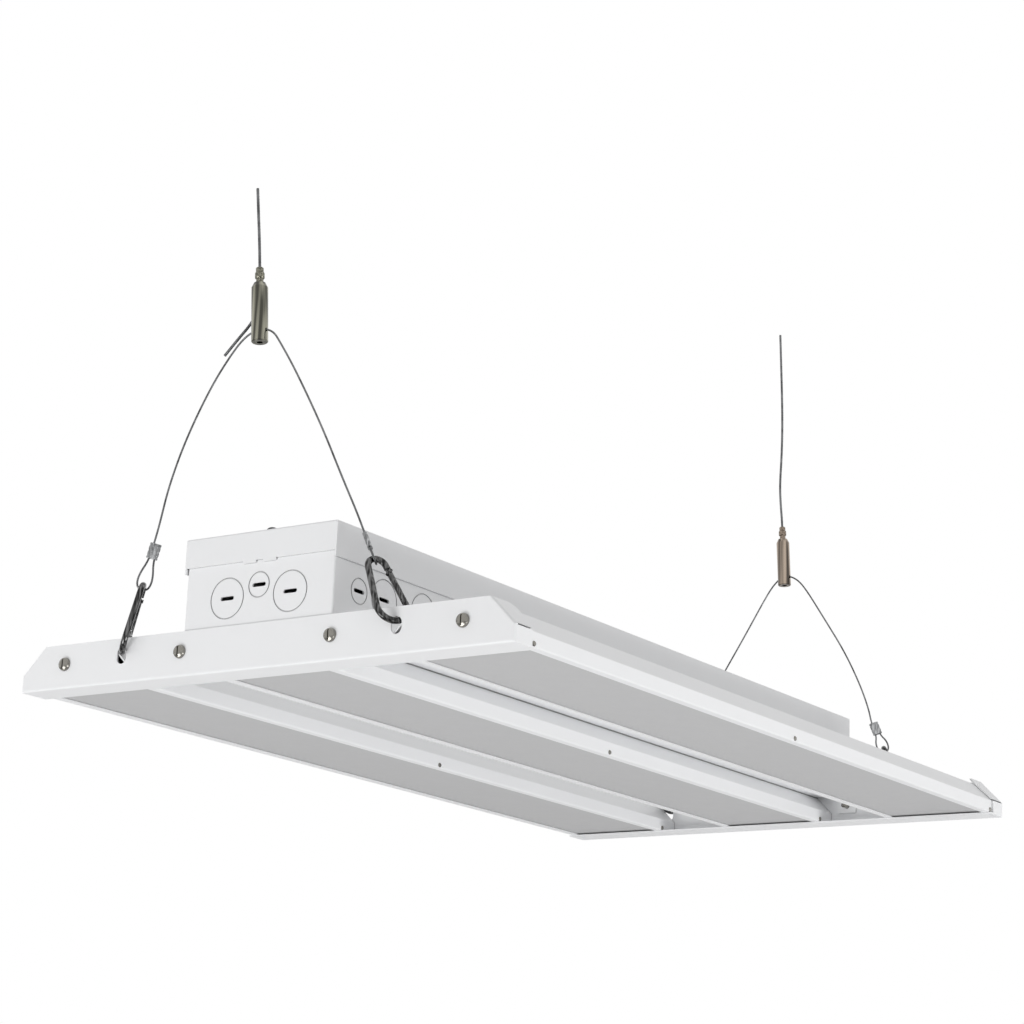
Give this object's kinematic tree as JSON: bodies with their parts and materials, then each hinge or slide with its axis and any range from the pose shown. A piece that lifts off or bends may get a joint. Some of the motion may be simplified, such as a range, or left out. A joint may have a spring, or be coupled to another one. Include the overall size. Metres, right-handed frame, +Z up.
{
  "type": "high bay light",
  "caption": "Suspended linear high bay light: white folded end plates join frosted lens bars, a driver box sits on the middle bar, and wire hangers with grippers and snap hooks carry it.",
  "frame": {"origin": "centre of the underside, level with the end plates' bottom flanges", "axes": "+X along the bars from the near end to the far end, +Y to the left, +Z up"},
  "size_m": [0.5892, 0.32, 0.3557],
  "materials": {
    "white_sheet": "powder coat",
    "lens": "frosted",
    "led_board": "matt",
    "led": "gloss",
    "driver_case": "satin",
    "terminal": "matt",
    "nickel_screw": "polished",
    "dark_screw": "satin",
    "hook_steel": "polished",
    "nickel_brass": "satin",
    "ferrule": "satin",
    "wire": "stranded",
    "spring_steel": "satin"
  },
  "bodies": {
    "fixture": {"bar_tray_left": "white_sheet", "bar_tray_middle": "white_sheet", "bar_tray_right": "white_sheet", "box_to_bar_screws": "nickel_screw", "bridle_wire_far": "wire", "bridle_wire_near": "wire", "clamping_spring_far": "spring_steel", "clamping_spring_near": "spring_steel", "driver": "driver_case", "driver_box": "white_sheet", "driver_box_lid": "white_sheet", "end_plate_far": "white_sheet", "end_plate_near": "white_sheet", "ferrules_far": "ferrule", "ferrules_near": "ferrule", "gate_rivets_far": "hook_steel", "gate_rivets_near": "hook_steel", "gripper_body_far": "nickel_brass", "gripper_body_near": "nickel_brass", "led_board_left": "led_board", "led_board_middle": "led_board", "led_board_right": "led_board", "led_packages_left": "led", "led_packages_middle": "led", "led_packages_right": "led", "lens_left": "lens", "lens_middle": "lens", "lens_right": "lens", "lens_screws_left": "nickel_screw", "lens_screws_middle": "nickel_screw", "lens_screws_right": "nickel_screw", "lid_screws": "dark_screw", "main_wire_far": "wire", "main_wire_near": "wire", "plate_screws_far": "nickel_screw", "plate_screws_near": "nickel_screw", "snap_hook_far_left": "hook_steel", "snap_hook_far_right": "hook_steel", "snap_hook_near_left": "hook_steel", "snap_hook_near_right": "hook_steel", "terminal_block": "terminal"},
    "gate_near_left": {"hook_gate_near_left": "hook_steel"},
    "gate_near_right": {"hook_gate_near_right": "hook_steel"},
    "gate_far_left": {"hook_gate_far_left": "hook_steel"},
    "gate_far_right": {"hook_gate_far_right": "hook_steel"},
    "nipple_near": {"release_nipple_near": "nickel_brass", "clamping_balls_near": "spring_steel"},
    "nipple_far": {"release_nipple_far": "nickel_brass", "clamping_balls_far": "spring_steel"}
  },
  "joints": [
    {"name": "gate_hinge_near_left", "type": "hinge", "parent": "fixture", "child": "gate_near_left", "pos_m": [-0.28062, 0.08426, 0.04491], "axis": [-0.6157, 0.7515, 0.237], "range_deg": [0, 30], "stiffness_Nm_per_rad": 0.01, "springref_deg": -11.46},
    {"name": "gate_hinge_near_right", "type": "hinge", "parent": "fixture", "child": "gate_near_right", "pos_m": [-0.28005, -0.07937, 0.04344], "axis": [0.454, 0.8008, -0.3906], "range_deg": [0, 30], "stiffness_Nm_per_rad": 0.01, "springref_deg": -11.46},
    {"name": "gate_hinge_far_left", "type": "hinge", "parent": "fixture", "child": "gate_far_left", "pos_m": [0.27978, 0.08113, 0.044], "axis": [-0.342, -0.8773, -0.3368], "range_deg": [0, 30], "stiffness_Nm_per_rad": 0.01, "springref_deg": -11.46},
    {"name": "gate_hinge_far_right", "type": "hinge", "parent": "fixture", "child": "gate_far_right", "pos_m": [0.28, -0.08069, 0.0439], "axis": [0.4384, -0.8273, 0.3512], "range_deg": [0, 30], "stiffness_Nm_per_rad": 0.01, "springref_deg": -11.46},
    {"name": "release_slide_near", "type": "slide", "parent": "fixture", "child": "nipple_near", "axis": [0, -0.0802, -0.9968], "range_m": [0, 0.002], "stiffness_N_per_m": 800, "springref_m": -0.001, "deforming": ["clamping_spring_near"]},
    {"name": "release_slide_far", "type": "slide", "parent": "fixture", "child": "nipple_far", "axis": [0, -0.0558, -0.9984], "range_m": [0, 0.002], "stiffness_N_per_m": 800, "springref_m": -0.001, "deforming": ["clamping_spring_far"]}
  ]
}
